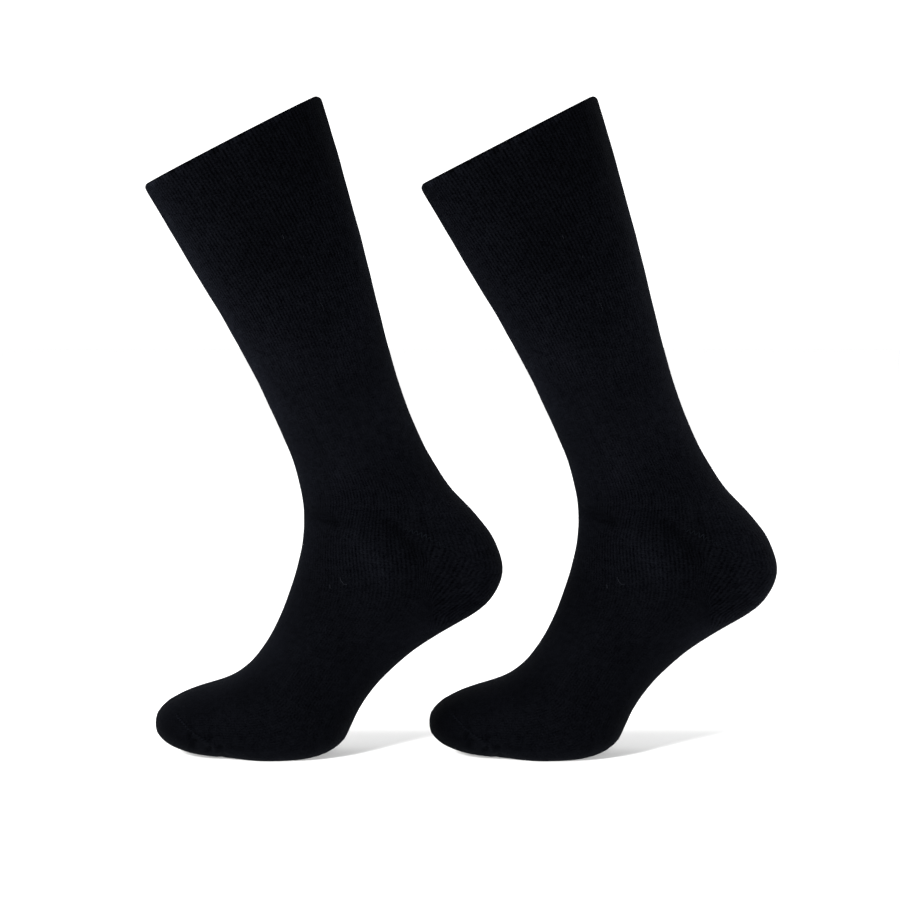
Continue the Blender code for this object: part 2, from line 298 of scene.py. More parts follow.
# The turned edge of the cuff, from the foot of the band inside, over the top, to the outside:
# depth below the edge and how far in from the outer face.
TURNED_EDGE = [(31.0, 1.7), (24.0, 1.8), (16.0, 1.8), (9.0, 1.8), (4.0, 1.9), (1.9, 2.05),
               (0.9, 2.1), (0.3, 1.9), (0.0, 1.5), (0.1, 1.0), (0.5, 0.55), (1.2, 0.2), (2.4, 0.04)]
FRONT_CORNER = 2.2  # the edge's rounding
BACK_CORNER = 2.6
CORNER_REACH = 8.0
INSIDE_LOOK = (1.0, 0.8, 0.0)  # tone, openness and lean of the inner face
# Painted shade along the cuff's edge: a dark line at the very edge, with paler cloth just below it.
EDGE_DEPTHS = (0.0, 0.5, 1.2, 2.4, 3.6)  # the cloth's tone by depth below the edge:
EDGE_PAINTED_SHADE = (0.3, 0.45, 1.4, 1.2, 1.0)
EDGE_LOOPS = (0.0, 0.0, 0.5, 0.3, 0.0)  # and how uneven it is there
TOE_ROUNDING = [0.87, 0.72, 0.54, 0.36, 0.18]  # sizes of the rings that close the toe
TOE_ROW = 2.0  # the way from one of them to the next
LINING_START = 2.0  # how far below the band's foot the inner face begins
LINING_ROWS = 3  # rows of the outside to one of the inner face

# The flat map of the cloth: the outer and the inner face's share of its width, and its height.
OUTER_MAP = (0.005, 0.62)
INNER_MAP = (0.64, 0.995)
MAP_FOOT, MAP_TOP = 0.005, 0.995
MAP_EDGE = 0.001  # what closes a face lies this far or more outside it
CLOSING_LOOK = (1.0, 0.3)  # tone and openness of what closes the faces


def smooth_through(stops, values, places):
    """Values at the places, on a smooth curve through the stops."""
    steps = np.diff(stops)
    climbs = np.diff(values) / steps
    slopes = np.empty(len(values))
    slopes[0], slopes[-1] = climbs[0], climbs[-1]
    slopes[1:-1] = (climbs[:-1] * steps[1:] + climbs[1:] * steps[:-1]) / (steps[:-1] + steps[1:])
    index = np.clip(np.searchsorted(stops, places, side="right") - 1, 0, len(steps) - 1)
    share = (places - stops[index]) / steps[index]
    rise, fall = slopes[index] * steps[index], slopes[index + 1] * steps[index]
    blend = 3 * share**2 - 2 * share**3
    return (values[index] * (1 - blend) + values[index + 1] * blend
            + rise * (share - 2 * share**2 + share**3) + fall * (share**3 - share**2))


def section_stops():
    """The way down the tube to each section, in the mean of its front and its back."""
    stops = [0.0]
    for row, after in zip(SECTIONS, SECTIONS[1:]):
        front = math.hypot(after.front_x - row.front_x, after.front_z - row.front_z)
        back = math.hypot(after.back_x - row.back_x, after.back_z - row.back_z)
        stops.append(stops[-1] + (front + back) / 2)
    return np.array(stops)


STOPS = section_stops()
FIELDS = Section._fields[:-1]


def sections_at(places):
    """The tube's section at each of the ways down it."""
    columns = [smooth_through(STOPS, np.array([getattr(row, field) for row in SECTIONS]), places)
               for field in FIELDS]
    return [dict(zip(FIELDS, values)) for values in zip(*columns)]


def way_along(points):
    """The way to each of the points along the line through them."""
    return np.concatenate([[0], np.cumsum(np.linalg.norm(np.diff(points, axis=0), axis=1))])


def ring_points(section, count, inset):
    """Points round one ring, from the front towards +Y, evenly spaced but for the wales' slide."""
    turn = np.linspace(0.0, 2 * math.pi, 2881)
    cosine, sine = np.cos(turn), np.sin(turn)
    power = 2 / np.where(cosine > 0, section["front_round"], section["back_round"])
    along = np.sign(cosine) * np.abs(cosine) ** power
    across = np.sign(sine) * np.abs(sine) ** power
    front = np.array([section["front_x"], section["front_z"]])
    back = np.array([section["back_x"], section["back_z"]])
    inwards = (back - front) / np.linalg.norm(back - front) * inset
    front, back = front + inwards, back - inwards
    middle = front + (back - front) * section["widest"]
    reach = np.where((cosine > 0)[:, None], front - middle, middle - back)
    flat = middle + reach * along[:, None]
    points = np.column_stack([flat[:, 0], across * (section["half_width"] - inset), flat[:, 1]])
    way = way_along(points)
    share = np.arange(count) / count
    share = (share + section["slide"] / 2 * np.sin(2 * math.pi * share) + section["twist"]) % 1.0
    return np.column_stack([np.interp(share * way[-1], way, column) for column in points.T])


def outward(grid):
    """Unit normals of a grid of rings, on the side that turns right-handed along the rows."""
    round_the_ring = np.roll(grid, -1, axis=1) - np.roll(grid, 1, axis=1)
    down_the_tube = np.gradient(grid, axis=0)
    normals = np.cross(round_the_ring, down_the_tube)
    return normals / np.maximum(np.linalg.norm(normals, axis=2, keepdims=True), 1e-9)


def waves(points, size, seed):
    """Soft uneven waves of about that size, within about 1 either way."""
    draw = np.random.default_rng(seed)
    total = np.zeros(points.shape[:-1])
    for _ in range(WAVES):
        direction = draw.normal(size=3)
        direction *= 2 * math.pi / (size * draw.uniform(*WAVE_SPREAD)) / np.linalg.norm(direction)
        total += np.sin(points @ direction + draw.uniform(0, 2 * math.pi))
    return total / WAVES_HEIGHT


def fold_depth(points):
    """How far the folds press each point in."""
    depth = np.zeros(points.shape[:-1])
    share = np.linspace(0.0, 1.0, 41)
    fade = np.sin(math.pi * share) ** 0.5
    for fold in FOLDS:
        curve = (np.outer((1 - share) ** 2, fold.start)
                 + np.outer(2 * share * (1 - share), fold.bend) + np.outer(share**2, fold.end))
        deepest = np.zeros(depth.shape)
        for (x, z), strength in zip(curve, fade):
            away = ((points[..., 0] - x) ** 2 + (points[..., 2] - z) ** 2) / fold.width**2
            deepest = np.maximum(deepest, np.exp(-away) * strength)
        depth += fold.depth * deepest * np.clip(points[..., 1] * fold.side / FOLD_REACH, 0.0, 1.0)
    return depth


def rounded_corners(grid, depths, edge_row, foot_row):
    """The same grid with the cuff's edge drawn down a little at its front and at its back."""
    edge, foot = grid[edge_row], grid[foot_row]
    down = (foot - edge) / np.linalg.norm(foot - edge, axis=1, keepdims=True)
    front, back = edge[np.argmin(edge[:, 0])], edge[np.argmax(edge[:, 0])]
    across = (back - front) / np.linalg.norm(back - front)
    fade = np.clip(1 - depths / CORNER_REACH, 0.0, 1.0) ** 2
    for corner, radius in ((front, FRONT_CORNER), (back, BACK_CORNER)):
        near = np.clip(1 - np.abs((edge - corner) @ across) / radius, 0.0, 1.0)
        drop = radius * (1 - np.sqrt(1 - near**2))
        grid = grid + fade[:, None, None] * drop[None, :, None] * down
    return grid


def heel_parts(points):
    """How far each point lies in the heel pocket below its seam, and on the cloth just above it."""
    x, z = points[..., 0], points[..., 2]
    below = (HEEL_SEAM_TOP - HEEL_SEAM_FALL * x - z) / HEEL_SEAM_FADE
    front = np.minimum(POCKET_FRONT[0] + POCKET_FRONT_SLANT * (POCKET_FRONT[1] - z),
                       POCKET_FRONT_LAST)
    pocket = (np.clip(below, 0.0, 1.0) * np.clip((x - front) / POCKET_FRONT_FADE, 0.0, 1.0)
              * np.clip((z - POCKET_FOOT) / POCKET_FOOT_FADE, 0.0, 1.0))
    above = (np.clip(1 - below, 0.0, 1.0)
             * np.clip((x - ABOVE_SEAM_FRONT) / ABOVE_SEAM_FRONT_FADE, 0.0, 1.0)
             * np.clip((ABOVE_SEAM_TOP - z) / ABOVE_SEAM_TOP_FADE, 0.0, 1.0))
    return pocket, above


def knitted_rows():
    """Depth and inset of each fine row: the band inside, the turned edge, then the outside."""
    depths = [depth for depth, _ in TURNED_EDGE]
    insets = [inset for _, inset in TURNED_EDGE]
    for row, start, end in zip(SECTIONS[1:], STOPS, STOPS[1:]):
        depths.extend(start + (end - start) * step / row.rows for step in range(1, row.rows + 1))
    insets.extend([0.0] * (len(depths) - len(insets)))
    return np.array(depths), np.array(insets)


def painted_shading_round(grid, sections, depths):
    """Painted light and shade at each point, from that of the front, sides and back of its ring."""
    front = np.array([(section["front_x"], section["front_z"]) for section in sections])[:, None]
    back = np.array([(section["back_x"], section["back_z"]) for section in sections])[:, None]
    way = ((grid[..., [0, 2]] - front) * (back - front)).sum(axis=2)
    way = way / ((back - front) ** 2).sum(axis=2)
    front_shading, side_shading, back_shading = (np.interp(depths, *painted_shading)[:, None]
                                        for painted_shading in (FRONT_PAINTED_SHADING, SIDE_PAINTED_SHADING, BACK_PAINTED_SHADING))
    near_front = np.clip(1 - way / SHADING_REACH, 0.0, 1.0) ** SHADING_FALL
    near_back = np.clip(1 - (1 - way) / SHADING_REACH, 0.0, 1.0) ** SHADING_FALL
    return (side_shading + (front_shading - side_shading) * near_front
            + (back_shading - side_shading) * near_back)


def wale_lift(grid, depths, outside, pocket, above, seed):
    """How far the wales stand out or sink in at each point, sharper where they are the band's ribs."""
    relief = np.array([max(section["relief"], 0.0) for section in sections_at(depths)])
    relief *= np.where(outside, 1.0, np.clip((depths - RIB_EDGE) / RIB_FADE, 0.0, RIBS_INSIDE))
    ribbed = np.clip((BAND_DEPTH - depths) / RIB_FADE, 0.0, 1.0)[:, None]
    profile = ribbed * np.tile(RIB_PROFILE, WALES) + (1 - ribbed) * np.tile(WALE_PROFILE, WALES)
    uneven = np.clip(1 + RELIEF_UNEVENNESS * waves(grid, RELIEF_WAVE, seed), *RELIEF_LIMITS)
    return (profile * relief[:, None] * uneven * (1 - pocket)
            * (1 - (1 - ABOVE_SEAM_RELIEF) * above))


def knit_looks(grid, depths, pressed, pocket, above, seed):
    """The painted light and shade, openness and lean of the knit at each point."""
    painted_shading = painted_shading_round(grid, sections_at(depths), depths)
    # Painted shade: a dark line along the cuff's edge and darker cloth in the folds, with painted light
    # on the swells.
    painted_shading *= np.interp(depths, EDGE_DEPTHS, EDGE_PAINTED_SHADE)[:, None] * (1 - FOLD_PAINTED_SHADE * pressed)
    loops = np.interp(depths, EDGE_DEPTHS, EDGE_LOOPS)[:, None]
    painted_shading *= 1 + loops * waves(grid, EDGE_WAVE, seed)
    under_seam = np.maximum(HEEL_SEAM_TOP - HEEL_SEAM_FALL * grid[..., 0] - grid[..., 2], 0.0)
    opening = (np.interp(depths, *GAP_SHADE_SHOWN)[:, None] * (1 - pocket**2 - above)
               + ABOVE_SEAM_OPEN * above + np.interp(under_seam, *POCKET_OPEN) * pocket**2)
    lean = HEEL_LEAN * under_seam * pocket * np.clip(grid[..., 1] / LEAN_REACH, -1.0, 1.0)
    return np.stack([painted_shading, opening, lean], axis=-1)


def knitted_grid(seed):
    """The fine rows of the cloth, with wales, folds and small unevenness, then the depths of the
    rows, and the painted light and shade, openness and lean of the knit at each point."""
    depths, insets = knitted_rows()
    grid = np.array([ring_points(section, COLUMNS, inset)
                     for section, inset in zip(sections_at(depths), insets)])
    outside = np.arange(len(depths)) >= len(TURNED_EDGE)
    foot_row = len(TURNED_EDGE) + int(np.argmax(depths[outside] >= BAND_DEPTH))
    grid = rounded_corners(grid, depths, int(np.argmin(depths)), foot_row)
    pocket, above = heel_parts(grid)
    pressed = fold_depth(grid) * outside[:, None]
    lift = wale_lift(grid, depths, outside, pocket, above, seed) - pressed
    lift += (CLOTH_SWELL * waves(grid, CLOTH_WAVE, seed + 1) * outside[:, None]
             * np.clip(depths / SWELL_FULL, SWELL_AT_EDGE, 1.0)[:, None])
    looks = knit_looks(grid, depths, pressed, pocket, above, seed + 2)
    grid = grid + outward(grid) * lift[..., None]
    last, tip = grid[-1], np.array([TOE_TIP[0], 0.0, TOE_TIP[1]])
    for size in TOE_ROUNDING:
        ring = tip + (last - tip) * size
        ring[:, 0] = tip[0] + (last[:, 0] - tip[0]) * size**2
        grid = np.concatenate([grid, ring[None]])
        looks = np.concatenate([looks, looks[-1:]])
        depths = np.append(depths, depths[-1] + TOE_ROW)
    grid[..., 2] = np.maximum(grid[..., 2], 0.0)
    return grid, depths, looks


def lining_grid(grid, depths):
    """The inner face below the band, from the toe up, with one column to a wale, and its depths."""
    rows = np.arange(len(TURNED_EDGE), len(depths) - len(TOE_ROUNDING))
    rows = rows[depths[rows] > BAND_DEPTH + LINING_START][::-LINING_ROWS]
    coarse = grid[:, ::WALE_COLUMNS]
    inner = (coarse - outward(coarse) * WALL)[rows]
    inner[..., 2] = np.maximum(inner[..., 2], WALL)
    return inner, depths[rows]


def skin(grid, first):
    """Quads between the rings of a grid whose first vertex has the number given."""
    count, columns = grid.shape[:2]
    row = np.arange(count - 1)[:, None] * columns + first
    here = np.arange(columns)
    after = (here + 1) % columns
    return np.stack([row + here, row + after, row + columns + after, row + columns + here],
                    axis=-1).reshape(-1, 4)


def on_map(span, share):
    """The place across the flat map of a share of the way round a face."""
    return span[0] + (span[1] - span[0]) * share


def skin_places(depths, span, looks):
    """Where the corners of those quads lie on the cloth: wale and course, painted light and shade and
    openness, and on the flat map."""
    columns = looks.shape[1]
    looks = np.concatenate([looks, looks[:, :1]], axis=1)
    wale = np.arange(columns + 1) / columns
    rise = np.cumsum(np.concatenate([[0], np.abs(np.diff(depths))]))
    rise = MAP_TOP - (MAP_TOP - MAP_FOOT) * rise / rise[-1]
    corners = []
    for across, along in ((wale * WALES + looks[..., 2], (depths / COURSE)[:, None]),
                          (looks[..., 0], looks[..., 1]),
                          (on_map(span, wale), rise[:, None])):
        both = np.stack(np.broadcast_arrays(across, along, looks[..., 0])[:2], axis=-1)
        corners.append(np.stack([both[:-1, :-1], both[:-1, 1:], both[1:, 1:], both[1:, :-1]],
                                axis=2).reshape(-1, 2))
    return corners


def closing_faces(inner, inner_depths, grid, depths):
    """The triangles that join the lining to the foot of the band and close both faces at the toe,
    each with the places of its corners in wales and courses, and on the flat map."""
    first = inner.shape[0] * WALES
    toe_inside = first + grid.shape[0] * COLUMNS
    middle = WALE_COLUMNS // 2
    band_foot = BAND_DEPTH / COURSE
    toe_start, toe_end = inner_depths[0] / COURSE, depths[-1] / COURSE
    for k in range(WALES):
        fine = [first + (k * WALE_COLUMNS + step) % COLUMNS for step in range(WALE_COLUMNS + 1)]
        here, after = first - WALES + k, first - WALES + (k + 1) % WALES
        place = {here: (k, band_foot + 1), after: (k + 1, band_foot + 1)}
        place.update({c: (k + step / WALE_COLUMNS, band_foot) for step, c in enumerate(fine)})
        fans = [(here, after, fine[middle])]
        fans += [(here if step < middle else after, fine[step + 1], fine[step])
                 for step in range(WALE_COLUMNS)]
        for fan in fans:
            yield (fan, [place[c] for c in fan],
                   [(on_map(INNER_MAP, place[c][0] / WALES), MAP_FOOT - MAP_EDGE) for c in fan])
        yield ((toe_inside, (k + 1) % WALES, k),
               [(k + 0.5, toe_start + 3), (k + 1, toe_start), (k, toe_start)],
               [(on_map(INNER_MAP, (k + 0.5) / WALES), MAP_TOP + 4 * MAP_EDGE),
                (on_map(INNER_MAP, (k + 1) / WALES), MAP_TOP),
                (on_map(INNER_MAP, k / WALES), MAP_TOP)])
    last = toe_inside - COLUMNS
    for k in range(COLUMNS):
        wale, after = k / WALE_COLUMNS, (k + 1) / WALE_COLUMNS
        yield ((last + k, last + (k + 1) % COLUMNS, toe_inside + 1),
               [(wale, toe_end), (after, toe_end), (wale, toe_end + 3)],
               [(on_map(OUTER_MAP, wale / WALES), MAP_FOOT),
                (on_map(OUTER_MAP, after / WALES), MAP_FOOT),
                (on_map(OUTER_MAP, (wale + 0.1) / WALES), MAP_FOOT - 4 * MAP_EDGE)])


def knitted_tube(name, seed):
    """One sock's cloth as a closed thin shell, in metres about its own middle."""
    grid, depths, looks = knitted_grid(seed)
    inner, inner_depths = lining_grid(grid, depths)
    tip = np.array([TOE_TIP[0], 0.0, TOE_TIP[1]])
    vertices = np.concatenate([inner.reshape(-1, 3), grid.reshape(-1, 3),
                               [tip + (WALL, 0, 0), tip]])
    lining, outside = skin(inner, 0), skin(grid, inner.shape[0] * WALES)
    closing, wale_places, map_places = zip(*closing_faces(inner, inner_depths, grid, depths))
    mesh = bpy.data.meshes.new(name)
    mesh.from_pydata((vertices * MM).tolist(), [],
                     lining.tolist() + outside.tolist() + [list(corners) for corners in closing])
    lining_uv = skin_places(inner_depths, INNER_MAP, np.broadcast_to(INSIDE_LOOK, inner.shape))
    outside_uv = skin_places(depths, OUTER_MAP, looks)
    closing_uv = (np.concatenate(wale_places),
                  np.broadcast_to(CLOSING_LOOK, (3 * len(closing), 2)), np.concatenate(map_places))
    for layer, *parts in zip(("wales and courses", "tone and openness", "OFBake"),
                             lining_uv, outside_uv, closing_uv):
        uv = mesh.uv_layers.new(name=layer)
        uv.data.foreach_set("uv", np.concatenate(parts).astype(np.float32).ravel())
    mesh.shade_smooth()
    mesh.validate()
    marks = np.zeros(len(mesh.polygons), dtype=np.int32)
    marks[:len(lining)] = 1  # the second material, that of the inner face
    mesh.polygons.foreach_set("material_index", marks)
    return mesh


def fill(tree, node, inputs):
    """Puts numbers, colours or the outputs of other nodes into the node's sockets."""
    for name, value in inputs.items():
        if isinstance(value, bpy.types.NodeSocket):
            tree.links.new(value, node.inputs[name])
        else:
            node.inputs[name].default_value = value


def add(tree, kind, inputs, **settings):
    """The outputs of a new node with those settings and inputs."""
    node = tree.nodes.new(f"ShaderNode{kind}")
    for name, value in settings.items():
        setattr(node, name, value)
    fill(tree, node, inputs)
    return node.outputs


def work(tree, operation, *values, clamp=False):
    """The outcome of a sum of numbers and the outputs of other nodes."""
    return add(tree, "Math", dict(enumerate(values)), operation=operation, use_clamp=clamp)[0]


def effect(name, inputs, outputs):
    """A new shader effect. Of its inputs and outputs, Place is a vector and the others numbers."""
    group = bpy.data.node_groups.new(name, "ShaderNodeTree")
    for way, sockets in (("INPUT", inputs), ("OUTPUT", outputs)):
        for socket in sockets:
            kind = "NodeSocketVector" if socket == "Place" else "NodeSocketFloat"
            group.interface.new_socket(socket, in_out=way, socket_type=kind)
    return group, group.nodes.new("NodeGroupInput").outputs, group.nodes.new("NodeGroupOutput")


STITCH_WANDER = 0.8  # how far the stitches stray, in courses
STITCH_SLANT = 0.55  # of the small Vs, in courses for half a wale
CREST_SHARPNESS = 1.3
LOOP_SHARPNESS = 0.5
CREST_SHARE = 0.74  # of the relief is in the wale itself, and the rest in its loops
PURL_SWAY = 0.22  # of the ridges inside, in courses
COARSE_FIBRE = 0.35  # how strong the coarse fibres are beside the fine ones
# Painted shade: how far the crests are darkened towards the colour of the gaps.
CLOSED_SHADE = 0.25  # how dark a crest is where the gaps don't show
OPEN_SHADE = 0.05  # and where they show fully


def stitch_effect():
    """Shader effect: knit stitches from their place in wales and courses. Purl 0 is the smooth
    outside with its small Vs, and purl 1 the ridged inside. Open is how far the gaps show, and the
    gap output is the painted shade between the stitches."""
    group, entry, leave = effect("knit stitches", ("Place", "Open", "Purl", "Fuzz"),
                                 ("Height", "Gap shade", "Fibre"))
    sums = partial(work, group)

    def cloudy(scale, detail):
        """Soft clouds round 0 over the knit."""
        clouds = add(group, "TexNoise", {"Vector": entry["Place"], "Scale": scale, "Detail": detail},
                     noise_dimensions="2D")
        return sums("SUBTRACT", clouds["Fac"], 0.5)

    def peak(value):
        """0 at the ends of 0 to 1, and 1 in the middle."""
        return sums("SUBTRACT", 1.0, sums("ABSOLUTE", sums("MULTIPLY_ADD", value, 2.0, -1.0)))

    across, along, _ = add(group, "SeparateXYZ", {0: entry["Place"]})
    askew = sums("MULTIPLY", cloudy(scale=0.8, detail=2.0), STITCH_WANDER)
    wale = sums("ADD", across, sums("MULTIPLY", askew, 0.5))
    course = sums("ADD", along, askew)
    near_crest = peak(sums("FRACT", wale))
    from_crest = sums("SUBTRACT", 1.0, near_crest)
    bead = peak(sums("FRACT", sums("MULTIPLY_ADD", from_crest, STITCH_SLANT, course)))
    strand = peak(sums("FRACT", sums("MULTIPLY", wale, 2.0)))
    loop = sums("POWER", sums("MULTIPLY", bead, strand), LOOP_SHARPNESS)
    crest = sums("POWER", near_crest, CREST_SHARPNESS)
    knit = sums("ADD", sums("MULTIPLY", crest, CREST_SHARE), sums("MULTIPLY", loop, 1 - CREST_SHARE))
    sway = sums("MULTIPLY", sums("SINE", sums("MULTIPLY", wale, 2 * math.pi)), PURL_SWAY)
    ridge = peak(sums("FRACT", sums("ADD", course, sway)))
    stitch = add(group, "Mix", {"Factor": entry["Purl"], "A": knit, "B": ridge})["Result"]
    fibre = sums("MULTIPLY_ADD", cloudy(scale=0.45, detail=1.0), COARSE_FIBRE,
                 cloudy(scale=1.9, detail=3.0))
    fuzz = sums("MULTIPLY", fibre, entry["Fuzz"])
    shade = sums("MULTIPLY_ADD", entry["Open"], OPEN_SHADE - CLOSED_SHADE, CLOSED_SHADE)
    gap_shade = sums("ADD", sums("MULTIPLY", sums("SUBTRACT", 1.0, stitch), entry["Open"]), shade)
    fill(group, leave, {"Height": sums("ADD", sums("MULTIPLY", stitch, entry["Open"]), fuzz),
                        "Gap shade": sums("SUBTRACT", gap_shade, fuzz, clamp=True), "Fibre": fibre})
    return group


def uneven_effect():
    """Shader effect: soft clouds of tone over a piece, from 1 less the unevenness to 1 plus it, and
    the same clouds as a height."""
    group, entry, leave = effect("uneven tone", ("Scale", "Unevenness"), ("Tone", "Height"))
    piece = add(group, "TexCoord", {})["Object"]
    clouds = add(group, "TexNoise", {"Vector": piece, "Scale": entry["Scale"], "Detail": 3.0})["Fac"]
    tone = add(group, "MapRange", {"Value": clouds, "From Min": 0.3, "From Max": 0.7,
                                   "To Min": -1.0, "To Max": 1.0})["Result"]
    fill(group, leave, {"Tone": work(group, "MULTIPLY_ADD", tone, entry["Unevenness"], 1.0),
                        "Height": clouds})
    return group


knit_stitches = stitch_effect()
uneven_tone = uneven_effect()
CLOTH_SHINE = 0.006
CLOTH_BLOOM = 0.008
CLOTH_BLOOM_SPREAD = 0.3
CLOTH_BLOOM_TINT = (0.65, 0.8, 1.0, 1.0)
CLOTH_ROUGHNESS = (0.8, 1.0)  # from the lowest fibres to the highest
# The yarn's colour, then the colour of the painted shade in the gaps between the stitches.
YARN = (0.0031, 0.00345, 0.0048, 1.0)
GAP_SHADE = (0.0001, 0.0001, 0.0004, 1.0)
PATCHES = 26.0  # scale of the paler and darker patches
PATCHINESS = 0.2
STITCH_DEPTH = 0.3


def finished(tree, colour, tone, height, strength, depth):
    """Gives the material its colour, made paler or darker by the tone, and raises its surface by
    the height, to a depth in millimetres."""
    shaded = add(tree, "VectorMath", {0: colour, "Scale": tone}, operation="SCALE")["Vector"]
    relief = add(tree, "Bump", {"Strength": strength, "Distance": depth * MM, "Height": height})
    fill(tree, tree.nodes["Principled BSDF"], {"Base Color": shaded, "Normal": relief["Normal"]})


def knitted_cloth(name, purl, fuzz):
    """Blue-black cotton knit: dull, with painted shade between the stitches and the painted light
    and shade of the tube's map, and a faint bloom at its rims.
    """
    material = bpy.data.materials.new(name)
    material.use_nodes = True
    tree = material.node_tree
    shader = tree.nodes["Principled BSDF"]
    shader.inputs["Specular IOR Level"].default_value = CLOTH_SHINE
    shader.inputs["Sheen Weight"].default_value = CLOTH_BLOOM
    shader.inputs["Sheen Roughness"].default_value = CLOTH_BLOOM_SPREAD
    shader.inputs["Sheen Tint"].default_value = CLOTH_BLOOM_TINT
    place = add(tree, "UVMap", {}, uv_map="wales and courses")["UV"]
    look = add(tree, "UVMap", {}, uv_map="tone and openness")["UV"]
    # The painted light and shade of the knit, and how far its gaps show, as the tube's map gives them.
    tone, openness, _ = add(tree, "SeparateXYZ", {0: look})
    stitches = add(tree, "Group", {"Place": place, "Open": openness, "Purl": purl, "Fuzz": fuzz},
                   node_tree=knit_stitches)
    # Painted shade between the stitches: the yarn darkened towards the gap colour.
    yarn = add(tree, "Mix", {"Factor": stitches["Gap shade"], "A": YARN, "B": GAP_SHADE}, data_type="RGBA")
    patches = add(tree, "Group", {"Scale": PATCHES, "Unevenness": PATCHINESS}, node_tree=uneven_tone)
    dull = add(tree, "MapRange", {"Value": stitches["Fibre"], "From Min": -0.5, "From Max": 0.5,
                                  "To Min": CLOTH_ROUGHNESS[0], "To Max": CLOTH_ROUGHNESS[1]})
    fill(tree, shader, {"Roughness": dull["Result"]})
    finished(tree, yarn["Result"], work(tree, "MULTIPLY", patches["Tone"], tone),
             stitches["Height"], 1.0, STITCH_DEPTH)
    return material


def lit_alone(piece):
    """Puts the piece in the light of the three lamps that light only the socks."""
    for lamp_name in ("key lamp", "left lamp", "right lamp"):
        bpy.data.collections[f"lit by the {lamp_name}"].objects.link(piece)


KNIT_SEED = 3
outer_cloth = knitted_cloth("black knit", purl=0.0, fuzz=1.6)
inner_cloth = knitted_cloth("black knit inside", purl=1.0, fuzz=0.9)
left_mesh = knitted_tube("left_knitted_tube", KNIT_SEED)
left_mesh.materials.append(outer_cloth)
left_mesh.materials.append(inner_cloth)
right_mesh = left_mesh.copy()
right_mesh.name = "right_knitted_tube"
socks = {}
for side, sign, mesh in (("left", -1, left_mesh), ("right", 1, right_mesh)):
    tube = bpy.data.objects.new(mesh.name, mesh)
    tube.location.x = sign * PAIR_SPACING / 2 * MM
    bpy.context.collection.objects.link(tube)
    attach(tube, "root")
    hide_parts(f"sock_{side}")
    lit_alone(tube)
    socks[side] = tube

# ---------------------------------------------------------------------------------------------
# The linking row: small loops of the same black yarn inside each cuff, where the foot of the
# turned band is linked to the tube. They lie in one wavy line, a wave to every wale.

LINKING_WAVE = ((30.6, 2.1), (31.7, 2.2), (32.8, 1.7), (31.7, 2.2))  # depth below the edge, inset
LINKING_YARN = 0.33  # radius
LINKING_TONE = (0.0030, 0.0034, 0.0050)
YARN_SHINE = 0.02
YARN_ROUGHNESS = 0.9
YARN_FIBRES = 900.0  # scale of the fibres along a yarn
YARN_RELIEF = (0.6, 0.1)  # their strength and depth


def yarn_tube(name, runs, sides):
    """One mesh of yarns, in metres. Each run is its points, the outward direction and the radius at
    each point, and whether it closes on itself."""
    vertices, faces = [], []
    turn = np.linspace(0, 2 * math.pi, sides, endpoint=False)[:, None]
    for points, ups, radii, closed in runs:
        first, count = len(vertices), len(points)
        if closed:
            ahead = np.roll(points, -1, axis=0) - np.roll(points, 1, axis=0)
        else:
            ahead = np.gradient(points, axis=0)
        ahead /= np.linalg.norm(ahead, axis=1, keepdims=True)
        ups = ups - ahead * (ups * ahead).sum(axis=1, keepdims=True)
        ups /= np.linalg.norm(ups, axis=1, keepdims=True)
        beside = np.cross(ahead, ups)
        for k in range(count):
            ring = points[k] + radii[k] * (np.cos(turn) * ups[k] + np.sin(turn) * beside[k])
            vertices.extend((ring * MM).tolist())
        for k in range(count if closed else count - 1):
            here, there = first + k * sides, first + (k + 1) % count * sides
            faces.extend((here + j, here + (j + 1) % sides, there + (j + 1) % sides, there + j)
                         for j in range(sides))
        if not closed:
            faces.append([first + j for j in reversed(range(sides))])
            faces.append([first + (count - 1) * sides + j for j in range(sides)])
    mesh = bpy.data.meshes.new(name)
    mesh.from_pydata(vertices, [], faces)
    mesh.shade_smooth()
    mesh.validate()
    return mesh


def yarn_cloth(name, colour, unevenness):
    """Dull twisted cotton yarn, paler and darker along its fibres."""
    material = bpy.data.materials.new(name)
    material.use_nodes = True
    tree = material.node_tree
    shader = tree.nodes["Principled BSDF"]
    shader.inputs["Specular IOR Level"].default_value = YARN_SHINE
    shader.inputs["Roughness"].default_value = YARN_ROUGHNESS
    fibres = add(tree, "Group", {"Scale": YARN_FIBRES, "Unevenness": unevenness},
                 node_tree=uneven_tone)
    finished(tree, colour, fibres["Tone"], fibres["Height"], *YARN_RELIEF)
    return material


trimmings = {"left": [], "right": []}


def on_both_socks(name, runs, sides, material):
    """The same piece of yarns on the left and the right sock."""
    for side, sock in socks.items():
        mesh = yarn_tube(f"{side}_{name}", runs, sides)
        mesh.materials.append(material)
        piece = bpy.data.objects.new(mesh.name, mesh)
        piece.location = sock.location
        bpy.context.collection.objects.link(piece)
        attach(piece, "root")
        lit_alone(piece)
        trimmings[side].append(piece)


linking_rings = [ring_points(sections_at(np.array([depth]))[0], COLUMNS, inset)
                 for depth, inset in LINKING_WAVE]
linking_line = np.array([linking_rings[k % len(LINKING_WAVE)][k] for k in range(COLUMNS)])
inwards = linking_line.mean(axis=0) - linking_line
on_both_socks("linking_row", [(linking_line, inwards, np.full(COLUMNS, LINKING_YARN), True)], 5,
              yarn_cloth("black linking yarn", LINKING_TONE, unevenness=0.3))

# ---------------------------------------------------------------------------------------------
# The heel seam: a zigzag of thicker, greyer yarn on each side of the heel, where the pocket's
# rows were picked up again. It stands out most beside the ankle and sinks in towards the back.

